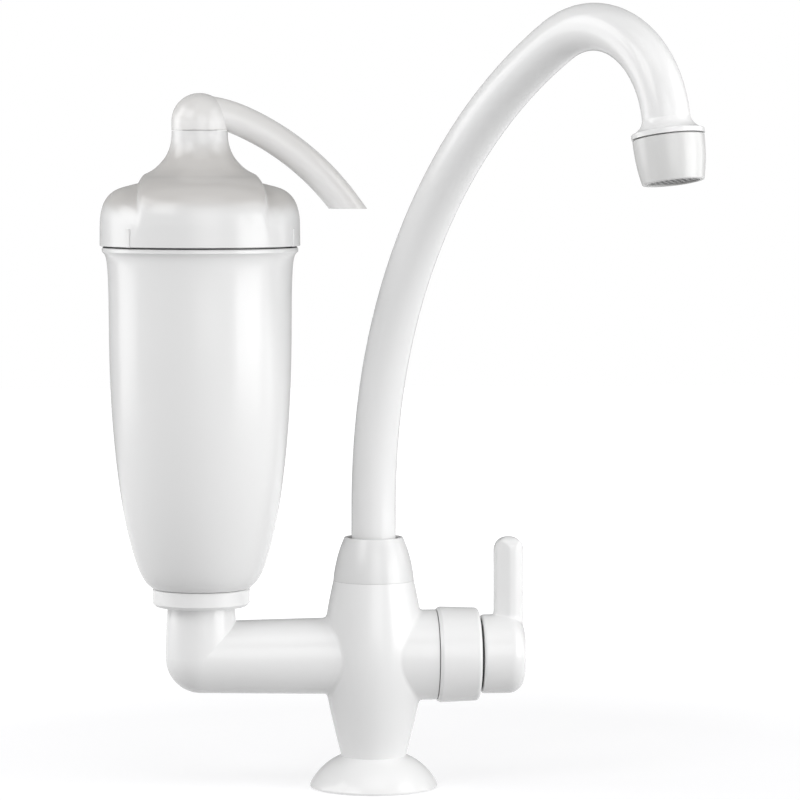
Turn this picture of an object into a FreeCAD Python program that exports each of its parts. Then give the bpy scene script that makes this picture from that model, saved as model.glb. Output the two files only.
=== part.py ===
"""Deck-mounted kitchen tap with a water filter on its side arm, in millimetres.

The origin is the centre of the base flange, on the deck. +Z is up, +X points from the tap to its lever,
-X to the filter, and -Y to the user.
"""

import FreeCAD
import Part
import math
import os

V = FreeCAD.Vector

# Gaps between pieces
run_gap = 0.08          # a shaft that turns in its hole, on the radius
thread_gap = 0.12       # between the crests of two threads, on the radius
seat_gap = 0.1          # between flat faces that only rest or slide on each other
free_gap = 0.4          # between curved faces that pass without touching

# Deck fixing
flange_r = 30.0
flange_edge = 0.8       # straight edge at the foot of the bell
flange_top_z = 14.4     # where the tap's body stands on the flange
flange_wall = 3.2
gasket_thick = 3.0
flange_hub_wall = 3.4
bell_bulge = 2.2        # how far the bell's curve stands out from a straight cone
shank_r = 10.48         # half-inch pipe thread over its crests
shank_held_r = 9.9      # the same thread at half its depth, inside the body and the nut
shank_bore_r = 7.0
thread_lead = 1.0       # chamfer where a thread starts
thread_runout = 0.5     # from the nut to the free thread below it
shank_length = 50.0     # below the deck
shank_in_body = 15.0
deck_grip = 18.0        # thickness of deck between the flange and the clamp washer
washer_r = 17.0
washer_thick = 2.0
nut_thick = 8.0
nut_across = 29.0       # across the flats
nut_foot = 1.2          # round foot of the nut
nut_chamfer = 1.4

# Tap body
axis_z = 61.6           # height of the side arm and of the valve
foot_r = 15.3
quarter_r = 20.4        # between the foot and the belly
belly_r = 23.9
shoulder_r = 20.9       # between the belly and the seam
seam_z = 97.1           # seam between the body and the spout nut
seam_r = 18.9
joint_fillet = 2.0      # where the arm and the boss meet the body

# Side arm and elbow
filter_x = -80.9        # filter's axis
elbow_r = 16.8
arm_root_r = 18.3       # arm where it meets the body
stub_r = 15.6           # upright stub under the union
arm_bore_r = 10.5
stub_bore_r = 9.0

# Gooseneck spout
tube_r = 10.4
tube_wall = 2.5
spout_turn = 54.6       # degrees from +X towards the user, at rest
foot_z = 76.0           # lower end of the tube inside the body
straight_top_z = 131.2
neck_arcs = ((275.2, 7.9), (239.5, 53.6), (46.6, 109.0))    # radius and degrees of each bend in turn
outlet_straight = 9.1
spout_bore_r = 3.2
ring_z = 101.0          # split ring that keeps the tube in the body
ring_thick = 2.6
ring_r = 12.4
ring_groove = 1.2
ring_wall = 2.4         # body's wall round the ring
seal_groove_width = 2.4
seal_groove_depth = 1.5
seal_pitch = 8.0
first_seal = 4.0        # from the tube's end to its lower seal
ring_split = 3.0

# Conical spout nut
spout_nut_top_z = 117.4
spout_nut_top_r = 13.7
spout_nut_recess = 5.0
spout_nut_mouth = 2.2   # open round the tube at the nut's top, on the radius
spout_nut_bulge = 0.9

# Collar and nozzle at the spout's end
collar_r = 15.8
collar_lip = 2.2
collar_flare = 5.4
nozzle_seam = 0.5       # dark seam between the collar and the nozzle
nozzle_top_r = 15.45
nozzle_end_r = 13.3
nozzle_length = 19.9
nozzle_edge = 0.6       # rounding of the mouth's edge
nozzle_spigot_r = 12.0
nozzle_spigot = 7.0
washer_soft = 1.8
insert_lip = 0.6        # shell's edge under the insert
insert_lip_reach = 0.7  # how far that edge covers the insert, on the radius
insert_wall = 1.4
lattice_pitch = 2.3
lattice_hole = 1.6
lattice_rim = 2.4       # plain rim round the holes' centres

# Valve on the right
boss_r = 21.2
boss_end_x = 29.3
ring_nut_x = 29.7
ring_nut_length = 19.7
ring_nut_r = 22.5
ring_nut_end_r = 21.9
boss_neck_r = 18.4
boss_neck = 11.0
chamber_x = 12.0        # floor of the valve chamber
chamber_r = 13.6
port_offset = 8.6       # outlet ports from the valve's axis
port_r = 2.6
inlet_port_r = 3.0
seal_thick = 2.0
disc_thick = 3.5
disc_r = 10.9
key_width = 3.0         # key between the spindle and the turning disc
key_depth = 1.0
channel_depth = 2.2     # channel in the turning disc
housing_flange = 2.6
housing_nose_r = 10.0
spindle_r = 5.0
spindle_square = 7.0
spindle_head = 6.0
spindle_corner = 0.3    # how much the square's corners are turned off
collar_chamfer = 1.6
collar_round = 1.8

# Lever
hub_r = 18.6
hub_x = 50.7
hub_end_x = 70.9
hub_round = 7.6
paddle_x = 56.6
paddle_ridge_x = 63.9
paddle_depth = 12.0
paddle_top_z = 117.3
hub_web = 4.3           # hub's wall under the screw's head
spindle_end_gap = 0.2   # between the spindle's end and that wall
screw_r = 2.0
screw_length = 10.0
screw_head_r = 3.6
screw_head = 2.4
screw_slot = 0.9        # width of the cross in the screw's head
screw_slot_reach = 2.2
screw_slot_depth = 1.2
plug_r = 5.0
plug_thick = 2.0
plug_bevel = 0.3

# Union under the filter
union_z = 86.0
union_r = 22.7
union_height = 8.1
union_lip = 1.3
union_bevel = 1.4
stub_flange = 1.4
stub_flange_r = 17.2
union_gasket_thick = 1.2

# Filter housing
housing_floor_z = 94.4
housing_foot_r = 22.8
housing_knee_r = 30.4
housing_low_r = 34.3
housing_mid_r = 38.6
housing_high_r = 41.6
housing_wall_thick = 2.7
foot_bend = 2.8         # round corner at the housing's foot
rim_z = 251.6
rim_height = 1.8
rim_flare = 11.0        # height of the flare under the rim
rim_edge = 0.5
neck_r = 41.9           # over the crests of the cap's thread
neck_length = 10.6
neck_step = 0.6         # neck inside the housing's top, on the radius
rim_proud = 3.75         # rim beyond the neck, on the radius
housing_top_r = neck_r + neck_step
rim_r = neck_r + rim_proud
rim_top_z = rim_z + rim_height
neck_top_z = rim_top_z + neck_length

# Filter cartridge
block_r = 24.0
block_bore_r = 7.0
felt_thick = 1.4
block_z = 113.0
block_length = 118.0
end_cap_thick = 3.0
end_cap_rim = 4.0
end_cap_r = 26.8
end_cap_wall = 1.2
end_cap_foot_r = 14.0
end_cap_window = 6.0    # width of the openings in the foot
spigot_r = 9.9
spigot_bore_r = 6.0
spigot_reach = 13.0     # above the housing's neck
spigot_seal_rise = 6.0
spigot_gap = 0.25       # in the cap's sleeve

# Cap
rim_seam = 0.8          # dark seam between the rim and the cap
cap_thread_gap = 0.5
cap_skirt_wall = 4.2
cap_draft = 0.2         # how far the skirt leans in up to the shoulder
shoulder_rise = 2.0     # cap's shoulder above the housing's neck
cap_wall = 2.8
cap_seal_thick = 1.5
lobe_bend = 8.4         # run of a lobe's round edge towards the axis
lobe_bend_rise = 14.6
lobe_top_r = 26.0
lobe_rise = 17.4
band_half = 26.4        # half width of the tall band at its top edge
band_draft = 9.0        # degrees
band_bend = 6.4
band_bend_rise = 13.3
band_top_r = 25.9
band_rise = 21.0
neck_outer_r = 13.0
neck_flare = 4.0        # how far the neck has widened a third of the way down
neck_rise = 20.6
sleeve_r = 12.7
sleeve_dip = 2.0        # sleeve's end below the top of the housing's neck
lug_width = 2.5
lug_height = 8.4
lug_proud = 0.5
lug_root = 1.2
lug_angles = (-137.0, -25.0, 43.0, 155.0)       # round the cap, from +X
cap_z = rim_top_z + rim_seam
cap_skirt_r = neck_r + cap_thread_gap + cap_skirt_wall
cap_shoulder_r = cap_skirt_r - cap_draft
cap_shoulder_z = neck_top_z + shoulder_rise
band_top_z = cap_shoulder_z + band_rise
neck_seam_z = band_top_z + neck_rise
sleeve_z = neck_top_z - sleeve_dip

# Small filter spout
small_seam = 0.25
head_r = 13.1
head_side = 4.3         # straight side under the dome
small_r = 7.2
small_bore_r = 4.6
small_rise = 9.3        # where the spout leaves the head, above the seam
small_start_dip = 4.0   # degrees below level where the spout leaves the head
small_arcs = ((58.0, 20.0), (120.0, 30.0))      # radius and degrees of each bend in turn
small_tail = 14.0
small_drop = 36.3       # from the seam to the mouth
small_foot_r = 8.0
small_foot = 18.1       # from the seam to the end of the foot
small_foot_edge = 0.8
clip_rise = 1.5         # above the end of the foot
clip_thick = 1.2
clip_r = 9.6
clip_groove = 1.4
small_seal_drop = 6.0
head_round_z = neck_seam_z + head_side
small_start_z = neck_seam_z + small_rise
small_mouth_z = neck_seam_z - small_drop
small_foot_z = neck_seam_z - small_foot
clip_z = small_foot_z + clip_rise
neck_collar_z = clip_z + clip_thick + free_gap


class Outline:
    """A closed outline in the radius and height plane, which is turned about Z."""

    def __init__(self, r, z):
        self.start = V(r, 0, z)
        self.pen = self.start
        self.edges = []

    def line(self, r, z):
        end = V(r, 0, z)
        if self.pen.distanceToPoint(end) > 1e-6:
            self.edges.append(Part.LineSegment(self.pen, end).toShape())
        self.pen = end
        return self

    def arc(self, through_r, through_z, r, z):
        end = V(r, 0, z)
        self.edges.append(Part.Arc(self.pen, V(through_r, 0, through_z), end).toShape())
        self.pen = end
        return self

    def curve(self, *points):
        places = [self.pen] + [V(r, 0, z) for r, z in points]
        spline = Part.BSplineCurve()
        spline.interpolate(places)
        self.edges.append(spline.toShape())
        self.pen = places[-1]
        return self

    def turned(self):
        self.line(self.start.x, self.start.z)
        face = Part.Face(Part.Wire(self.edges))
        solid = face.revolve(V(0, 0, 0), V(0, 0, 1), 360)
        return Part.Solid(solid.Shells[0]) if solid.ShapeType != "Solid" else solid


def ring(inner_r, outer_r, z, height):
    outline = Outline(inner_r, z).line(outer_r, z).line(outer_r, z + height).line(inner_r, z + height)
    return outline.turned()


def rod(r, z, height):
    return Part.makeCylinder(r, height, V(0, 0, z))


def seal_ring(root_r, width, z):
    """An O-ring that lies in its groove with its centre at z."""
    thick = 0.94 * width / 2
    return Part.makeTorus(root_r + thick, thick, V(0, 0, z))


def on_filter(shape):
    """Moves a shape turned about Z to the filter's axis."""
    moved = shape.copy()
    moved.translate(V(filter_x, 0, 0))
    return moved


def on_valve(shape):
    """Lays a shape turned about Z along the valve's axis, with its height along +X."""
    moved = shape.copy()
    lie_down = FreeCAD.Placement(V(0, 0, axis_z), FreeCAD.Rotation(V(0, 1, 0), 90))
    moved.Placement = lie_down.multiply(moved.Placement)
    return moved


def near(shape, chosen):
    """The edges of a shape whose middle passes the given test."""
    return [edge for edge in shape.Edges if chosen(edge.CenterOfMass, edge)]


def path_in_plane(start, turn, arcs, last, side):
    """Arcs and straights in the upright plane through the axis that points along side.

    turn is the angle from +Z at the start, each arc bends further outwards and down, and last is the
    straight run at the end. The path's wire, its end and its direction there come back.
    """
    def place(d, z):
        return V(side.x * d, side.y * d, z)

    d, z = start
    angle = math.radians(turn)
    edges = []
    for radius, degrees in arcs:
        step = math.radians(degrees)
        points = []
        for share in (0.0, 0.5, 1.0):
            now = angle + share * step
            points.append(place(d + radius * (math.cos(angle) - math.cos(now)),
                                z + radius * (math.sin(now) - math.sin(angle))))
        edges.append(Part.Arc(*points).toShape())
        d += radius * (math.cos(angle) - math.cos(angle + step))
        z += radius * (math.sin(angle + step) - math.sin(angle))
        angle += step
    end_d = d + last * math.sin(angle)
    end_z = z + last * math.cos(angle)
    edges.append(Part.LineSegment(place(d, z), place(end_d, end_z)).toShape())
    direction = V(side.x * math.sin(angle), side.y * math.sin(angle), math.cos(angle))
    return edges, place(end_d, end_z), direction


def swept(edges, radius):
    """A round rod of one radius along a path of edges."""
    wire = Part.Wire(edges)
    start = edges[0].valueAt(edges[0].FirstParameter)
    heading = edges[0].tangentAt(edges[0].FirstParameter)
    circle = Part.Wire(Part.makeCircle(radius, start, heading))
    return wire.makePipeShell([circle], True, False)


# Deck fixing

def base_flange():
    """Bell-shaped cover, open underneath, with a hub that the body stands on."""
    hub_r = shank_r + flange_hub_wall
    inner_r = flange_r - flange_wall
    bell = Outline(shank_r + free_gap, flange_top_z)
    bell.line(foot_r, flange_top_z)
    bell.arc(0.5 * (foot_r + flange_r) + bell_bulge, 0.56 * flange_top_z, flange_r, flange_edge)
    bell.line(flange_r, 0).line(inner_r, 0).line(inner_r, gasket_thick)
    bell.arc(0.5 * (hub_r + inner_r) + 0.5 * bell_bulge, 0.52 * flange_top_z, hub_r, flange_top_z - flange_wall)
    bell.line(hub_r, gasket_thick + seat_gap)
    bell.line(shank_r + free_gap, gasket_thick + seat_gap)
    return bell.turned()


def deck_gasket():
    return ring(shank_r + free_gap, flange_r - flange_wall - seat_gap, 0, gasket_thick)


def inlet_shank():
    """Threaded pipe that the supply screws onto, with its upper end in the body.

    The free thread below the nut has its crests' radius, and the thread that is screwed into something
    has the radius at half its depth.
    """
    top_z = flange_top_z + shank_in_body
    free_z = -deck_grip - washer_thick - nut_thick - thread_runout
    pipe = Outline(shank_bore_r, -shank_length)
    pipe.line(shank_r - thread_lead, -shank_length).line(shank_r, -shank_length + thread_lead)
    pipe.line(shank_r, free_z).line(shank_held_r, free_z)
    pipe.line(shank_held_r, top_z - thread_lead).line(shank_held_r - thread_lead, top_z)
    pipe.line(shank_bore_r, top_z)
    return pipe.turned()


def clamp_washer():
    return ring(shank_r + thread_gap, washer_r, -deck_grip - washer_thick, washer_thick)


def shank_nut():
    """Hexagonal nut with a round foot that bears on the clamp washer."""
    top_z = -deck_grip - washer_thick
    low_z = top_z - nut_thick
    side_z = top_z - nut_foot
    corner_r = nut_across / math.sqrt(3)
    turns = [math.radians(60 * i) for i in range(7)]
    corners = [V(corner_r * math.cos(turn), corner_r * math.sin(turn), low_z) for turn in turns]
    hexagon = Part.Face(Part.makePolygon(corners)).extrude(V(0, 0, side_z - low_z))
    chamfer = Outline(0, low_z).line(nut_across / 2, low_z).line(corner_r, low_z + nut_chamfer)
    chamfer.line(corner_r, side_z).line(0, side_z)
    nut = hexagon.common(chamfer.turned()).fuse(rod(nut_across / 2, side_z, nut_foot))
    return nut.cut(rod(shank_held_r + thread_gap, low_z - 1, nut_thick + 2))


# Tap body

def socket_r():
    return tube_r + run_gap


def neck_wall_r():
    """Outside of the body's threaded neck, which the spout nut screws onto."""
    return ring_r + seat_gap + ring_wall


def neck_end_z():
    return ring_z + ring_thick


def body_shell():
    """Outside of the one moulding: spindle-shaped body, arm, elbow, stub and valve boss."""
    spindle = Outline(0, flange_top_z).line(foot_r, flange_top_z)
    spindle.curve((quarter_r, flange_top_z + 0.45 * (axis_z - flange_top_z)), (belly_r, axis_z),
                  (shoulder_r, axis_z + 0.73 * (seam_z - axis_z)), (seam_r, seam_z))
    spindle.line(neck_wall_r(), seam_z).line(neck_wall_r(), neck_end_z()).line(0, neck_end_z())

    stub_top = union_z + union_lip
    elbow = Outline(0, axis_z - elbow_r)
    half = math.sqrt(0.5)
    elbow.arc(elbow_r * half, axis_z - elbow_r * half, elbow_r, axis_z)
    middle_z = 0.5 * (axis_z + stub_top)
    elbow.arc(elbow_r - 0.25 * (elbow_r - stub_r), middle_z, stub_r, stub_top)
    elbow.line(0, stub_top)

    arm = Part.makeCone(elbow_r, arm_root_r, -filter_x, V(filter_x, 0, axis_z), V(1, 0, 0))
    boss = Part.makeCylinder(boss_r, boss_end_x, V(0, 0, axis_z), V(1, 0, 0))
    shell = spindle.turned().fuse([on_filter(elbow.turned()), arm, boss]).removeSplitter()

    def joint(middle, edge):
        between = filter_x + stub_r < middle.x < boss_end_x - 1
        off_axis = abs(middle.z - axis_z) < boss_r and edge.Length > 20
        upright = abs(edge.BoundBox.XLength) > 0.5 and edge.BoundBox.YLength > 10
        return between and off_axis and upright
    return shell.makeFillet(joint_fillet, near(shell, joint))


def tap_body():
    """The moulding with its threaded necks, water passages, spout socket and valve chamber."""
    body = body_shell()
    flange_z = union_z + union_lip
    body = body.fuse([on_filter(rod(stub_flange_r, flange_z, stub_flange)),
                      on_valve(rod(boss_neck_r, boss_end_x - 1, boss_neck + 1))])

    shank_hole = rod(shank_held_r + thread_gap, flange_top_z - 1, shank_in_body + 1 + seat_gap)
    inlet = rod(inlet_port_r, flange_top_z, axis_z - flange_top_z)
    inlet_port = on_valve(rod(inlet_port_r, 0, chamber_x + 1))
    inlet_knee = Part.makeSphere(inlet_port_r, V(0, 0, axis_z))

    chamber = on_valve(rod(chamber_r, chamber_x, boss_end_x + boss_neck))
    spout_port = Part.makeCylinder(port_r, chamber_x + 1 + port_r, V(-port_r, -port_offset, axis_z), V(1, 0, 0))
    spout_riser = Part.makeCylinder(spout_bore_r, foot_z - axis_z, V(0, -port_offset, axis_z))
    socket = rod(socket_r(), foot_z - 1, neck_end_z() - foot_z + 2)
    ring_seat = rod(ring_r + seat_gap, ring_z - seat_gap, neck_end_z() - ring_z + 1)

    arm_end = 0.7 * belly_r
    filter_port = Part.makeCylinder(port_r, chamber_x + 1 + arm_end + 2, V(-arm_end - 2, port_offset, axis_z),
                                    V(1, 0, 0))
    arm_bore = Part.makeCylinder(arm_bore_r, -filter_x - arm_end, V(filter_x, 0, axis_z), V(1, 0, 0))
    elbow_knee = Part.makeSphere(arm_bore_r, V(filter_x, 0, axis_z))
    stub_bore = on_filter(rod(stub_bore_r, axis_z, flange_z + stub_flange - axis_z + 1))
    return body.cut([shank_hole, inlet, inlet_port, inlet_knee, chamber, spout_port, spout_riser, socket,
                     ring_seat, filter_port, arm_bore, elbow_knee, stub_bore])


def spout_nut():
    """Conical nut over the body's neck; its inner shoulder holds the split ring down."""
    shoulder_z = neck_end_z() + seat_gap
    recess_z = spout_nut_top_z - spout_nut_recess
    middle_z = 0.5 * (seam_z + spout_nut_top_z)
    cone = Outline(neck_wall_r() + thread_gap, seam_z + seat_gap)
    cone.line(seam_r, seam_z + seat_gap)
    cone.arc(0.5 * (seam_r + spout_nut_top_r) + spout_nut_bulge, middle_z, spout_nut_top_r, spout_nut_top_z)
    cone.line(tube_r + spout_nut_mouth, spout_nut_top_z).line(tube_r + 0.85 * spout_nut_mouth, recess_z)
    cone.line(tube_r + free_gap, recess_z).line(tube_r + free_gap, shoulder_z)
    cone.line(neck_wall_r() + thread_gap, shoulder_z)
    return cone.turned()


# Gooseneck spout

def spout_side():
    turn = math.radians(spout_turn)
    return V(math.cos(turn), -math.sin(turn), 0)


def neck_path():
    """The gooseneck's centre line, from the end of its foot to the nozzle's seam."""
    edges, end, direction = path_in_plane((0, straight_top_z), 0, neck_arcs, outlet_straight, spout_side())
    foot = Part.LineSegment(V(0, 0, foot_z), V(0, 0, straight_top_z)).toShape()
    return [foot] + edges, end, direction


def on_outlet(shape):
    """Moves a shape turned about Z to the nozzle's seam, with its height along the way the water leaves."""
    _, end, direction = neck_path()
    moved = shape.copy()
    at_seam = FreeCAD.Placement(end, FreeCAD.Rotation(V(0, 0, 1), direction))
    moved.Placement = at_seam.multiply(moved.Placement)
    return moved


def seal_heights():
    return foot_z + first_seal, foot_z + first_seal + seal_pitch


def spout_tube():
    edges, _, _ = neck_path()
    bore_r = tube_r - tube_wall
    tube = swept(edges, tube_r)

    collar = Outline(bore_r, -collar_lip - collar_flare)
    collar.line(tube_r, -collar_lip - collar_flare)
    edge = 0.3
    collar.arc(tube_r + 0.28 * (collar_r - tube_r), -collar_lip - 0.42 * collar_flare, collar_r - edge,
               -collar_lip)
    collar.line(collar_r, -collar_lip + edge).line(collar_r, 0)
    collar.line(nozzle_spigot_r, 0).line(nozzle_spigot_r, nozzle_spigot).line(bore_r, nozzle_spigot)
    tube = tube.fuse(on_outlet(collar.turned()))

    bore = swept(edges, bore_r)
    tube = tube.cut([bore, on_outlet(rod(bore_r, -1, nozzle_spigot + 2))])
    grooves = [ring(tube_r - seal_groove_depth, tube_r + 1, z - seal_groove_width / 2, seal_groove_width)
               for z in seal_heights()]
    grooves.append(ring(tube_r - ring_groove, tube_r + 1, ring_z - seat_gap, ring_thick + seat_gap))
    return tube.cut(grooves)


def spout_seal(z):
    return seal_ring(tube_r - seal_groove_depth, seal_groove_depth, z)


def spout_ring():
    """Split ring that snaps into the tube's groove and is held between the body and the nut."""
    whole = ring(tube_r - ring_groove + run_gap, ring_r, ring_z, ring_thick - seat_gap)
    side = Part.makeBox(ring_r + 2, ring_split, ring_thick + 2, V(0, -ring_split / 2, ring_z - 1))
    side.rotate(V(0, 0, 0), V(0, 0, 1), 180 - spout_turn)
    return whole.cut(side)


def nozzle_wall(t):
    """Outside radius of the barrel-shaped nozzle at a distance t from its seam."""
    share = t / nozzle_length
    return nozzle_top_r - (nozzle_top_r - nozzle_end_r) * share ** 2.2


def aerator_shell():
    thread_r = nozzle_spigot_r + thread_gap
    lip_r = thread_r - insert_lip_reach
    top_edge = 0.3
    below = nozzle_length - nozzle_edge
    end_r = nozzle_wall(below)
    corner_x = end_r - 0.3 * nozzle_edge
    shell = Outline(thread_r, nozzle_seam).line(nozzle_top_r - top_edge, nozzle_seam)
    shell.line(nozzle_wall(nozzle_seam + top_edge), nozzle_seam + top_edge)
    shell.curve(*((nozzle_wall(part * below), part * below) for part in (0.35, 0.7, 1)))
    shell.arc(corner_x, nozzle_length - 0.3 * nozzle_edge, end_r - nozzle_edge, nozzle_length)
    shell.line(lip_r, nozzle_length).line(lip_r, nozzle_length - insert_lip)
    shell.line(thread_r, nozzle_length - insert_lip)
    return on_outlet(shell.turned())


def aerator_washer():
    foot_z = nozzle_spigot + 0.5 * run_gap
    return on_outlet(ring(tube_r - tube_wall, nozzle_spigot_r - seat_gap, foot_z, washer_soft))


def aerator_insert():
    """Cup with a lattice of square holes that breaks up the stream."""
    top = nozzle_spigot + washer_soft + seat_gap
    bottom = nozzle_length - insert_lip - 0.5 * seat_gap
    outer = nozzle_spigot_r
    cup = rod(outer, top, bottom - top).cut(rod(outer - insert_wall, top - 1, bottom - top - insert_wall))
    holes = []
    reach = int(outer / lattice_pitch)
    for i in range(-reach, reach + 1):
        for j in range(-reach, reach + 1):
            if math.hypot(i, j) * lattice_pitch < outer - lattice_rim:
                corner = V(i * lattice_pitch - lattice_hole / 2, j * lattice_pitch - lattice_hole / 2,
                           bottom - 2 * insert_wall)
                holes.append(Part.makeBox(lattice_hole, lattice_hole, 3 * insert_wall, corner))
    return on_outlet(cup.cut(holes))


# Valve

def seat_x():
    """Where the discs' stack begins, on the seal at the chamber's floor."""
    return chamber_x + seal_thick


def housing_flange_x():
    return boss_end_x + boss_neck


def port_holes(x, length, radius):
    holes = [on_valve(rod(inlet_port_r, x, length))]
    for side in (-1, 1):
        holes.append(Part.makeCylinder(radius, length, V(x, side * port_offset, axis_z), V(1, 0, 0)))
    return holes


def valve_seal():
    disc = on_valve(rod(chamber_r - seat_gap, chamber_x, seal_thick))
    return disc.cut(port_holes(chamber_x - 1, seal_thick + 2, port_r))


def fixed_disc():
    """Ceramic disc with the inlet in its middle and an outlet port each side."""
    disc = on_valve(rod(disc_r, seat_x(), disc_thick))
    return disc.cut(port_holes(seat_x() - 1, disc_thick + 2, port_r * 0.85))


def turning_disc():
    """Ceramic disc whose radial channel joins the inlet to one outlet after a quarter turn."""
    x = seat_x() + disc_thick + seat_gap
    disc = on_valve(rod(disc_r - run_gap, x, disc_thick))
    width = 2 * inlet_port_r
    reach = port_offset + port_r * 0.6 - inlet_port_r
    slot = Part.makeBox(channel_depth + 1, width, reach, V(x - 1, -width / 2, axis_z))
    start = on_valve(rod(inlet_port_r, x - 1, channel_depth + 1))
    key_corner = V(x + disc_thick - key_depth, -key_width / 2, axis_z - disc_r / 2)
    key = Part.makeBox(disc_thick, key_width, disc_r, key_corner)
    return disc.cut([slot, start, key])


def spindle_head_x():
    return seat_x() + 2 * disc_thick + 2 * seat_gap


def screw_head_x():
    """Where the lever's screw bears on the hub."""
    return hub_end_x - plug_thick - screw_head


def hub_socket_end():
    return screw_head_x() - hub_web


def valve_spindle():
    """Head with a key for the turning disc, round shaft, and a square end for the lever."""
    head_x = spindle_head_x()
    shaft_x = head_x + spindle_head
    square_x = hub_x - spindle_end_gap
    end_x = hub_socket_end() - spindle_end_gap
    head = on_valve(rod(disc_r - run_gap, head_x, spindle_head))
    key_y = key_width / 2 - seat_gap
    key = Part.makeBox(key_depth + seat_gap, 2 * key_y, disc_r - 2 * seat_gap,
                       V(head_x - key_depth + seat_gap, -key_y, axis_z - disc_r / 2 + seat_gap))
    shaft = on_valve(rod(spindle_r, shaft_x, square_x - shaft_x))
    half = spindle_square / 2
    square = Part.makeBox(end_x - square_x, 2 * half, 2 * half, V(square_x, -half, axis_z - half))
    square = square.common(on_valve(rod(spindle_r - spindle_corner, square_x, end_x - square_x)))
    tapped_x = screw_head_x() - screw_length - 1
    tapped = on_valve(rod(screw_r + thread_gap, tapped_x, hub_end_x - tapped_x))
    return head.fuse([key, shaft, square]).cut(tapped)


def valve_housing():
    """Cartridge body that holds the discs, with a flange that the ring nut presses on the boss."""
    x = seat_x()
    flange_x = housing_flange_x()
    nose_x = ring_nut_x + ring_nut_length - 2 * free_gap
    inner_x = spindle_head_x() + spindle_head + seat_gap
    body = on_valve(rod(chamber_r - seat_gap, x, flange_x - x))
    flange = on_valve(rod(boss_neck_r - free_gap, flange_x, housing_flange))
    nose = on_valve(rod(housing_nose_r, flange_x, nose_x - flange_x))
    cavity = on_valve(rod(disc_r + run_gap, x - 1, inner_x - x + 1))
    bore = on_valve(rod(spindle_r + run_gap, x, nose_x - x + 1))
    groove = on_valve(rod(spindle_r + seal_groove_depth + free_gap, flange_x, seal_groove_width))
    return body.fuse([flange, nose]).cut([cavity, bore, groove])


def spindle_seal():
    thick = seal_groove_depth / 2
    x = housing_flange_x() + seal_groove_width / 2
    return on_valve(Part.makeTorus(spindle_r + 2 * seat_gap + thick, thick, V(0, 0, x)))


def valve_collar():
    """Ring nut on the boss, with a chamfered inner end and a rounded outer end."""
    start, end = ring_nut_x, ring_nut_x + ring_nut_length
    lip_x = housing_flange_x() + housing_flange
    bend = collar_round * (1 - math.sqrt(0.5))
    bore_r = boss_neck_r + thread_gap
    collar = Outline(bore_r, start).line(ring_nut_r - 0.45 * collar_chamfer, start)
    collar.line(ring_nut_r, start + collar_chamfer).line(ring_nut_end_r, end - collar_round)
    collar.arc(ring_nut_end_r - bend, end - bend, ring_nut_end_r - collar_round, end)
    collar.line(housing_nose_r + seat_gap, end).line(housing_nose_r + seat_gap, lip_x).line(bore_r, lip_x)
    return on_valve(collar.turned())


# Lever

def paddle():
    """Upright blade: narrow towards the tap, with a soft ridge, round outside and at the top."""
    half = paddle_depth / 2
    narrow = 0.52 * half
    corner = 0.9
    outer = hub_end_x
    left = [V(paddle_x + corner, -narrow, axis_z), V(paddle_ridge_x, -half, axis_z)]
    right = [V(paddle_ridge_x, half, axis_z), V(paddle_x + corner, narrow, axis_z)]
    edges = [Part.LineSegment(left[0], left[1]).toShape(),
             Part.Arc(left[1], V(outer, 0, axis_z), right[0]).toShape(),
             Part.LineSegment(right[0], right[1]).toShape(),
             Part.Arc(right[1], V(paddle_x, 0, axis_z), left[0]).toShape()]
    height = paddle_top_z - axis_z
    blade = Part.Face(Part.Wire(edges)).extrude(V(0, 0, height))
    round_r = (outer - paddle_x) / 2
    foot = V(paddle_x, -half, axis_z)
    front = rounded_bar(foot, V(2 * round_r, 0, 0), V(0, paddle_depth, 0), height, round_r)
    side = rounded_bar(V(paddle_x, -half, axis_z), V(0, paddle_depth, 0), V(2 * round_r, 0, 0), height, half)
    return blade.common(front).common(side)


def rounded_bar(corner, across, through, height, rise):
    """Upright bar with a rounded top, whose round starts rise below the top; through is its thickness."""
    low = corner + V(0, 0, height - rise)
    sides = [Part.LineSegment(low, corner).toShape(),
             Part.LineSegment(corner, corner + across).toShape(),
             Part.LineSegment(corner + across, low + across).toShape(),
             Part.Arc(low + across, low + across * 0.5 + V(0, 0, rise), low).toShape()]
    return Part.Face(Part.Wire(sides)).extrude(through)


def lever():
    """Round hub with the paddle, a square socket for the spindle and a screw hole from outside."""
    flat_r = hub_r - hub_round
    bend = hub_round * (1 - math.sqrt(0.5))
    edge = 0.5
    hub = Outline(0, hub_x).line(hub_r - edge, hub_x).line(hub_r, hub_x + edge)
    hub.line(hub_r, hub_end_x - hub_round)
    hub.arc(hub_r - bend, hub_end_x - bend, flat_r, hub_end_x).line(0, hub_end_x)
    body = on_valve(hub.turned()).fuse(paddle()).removeSplitter()

    half = spindle_square / 2 + seat_gap
    depth = hub_socket_end() - hub_x + 1
    socket = Part.makeBox(depth, 2 * half, 2 * half, V(hub_x - 1, -half, axis_z - half))
    socket = socket.common(on_valve(rod(spindle_r + 2 * seat_gap, hub_x - 1, depth)))
    screw_hole = on_valve(rod(screw_r + 2 * seat_gap, hub_x, hub_end_x - hub_x))
    head_hole = on_valve(rod(screw_head_r + 2 * seat_gap, screw_head_x(), screw_head + plug_thick + 1))
    plug_hole = on_valve(rod(plug_r + seat_gap, hub_end_x - plug_thick, plug_thick + 1))
    return body.cut([socket, screw_hole, head_hole, plug_hole])


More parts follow.
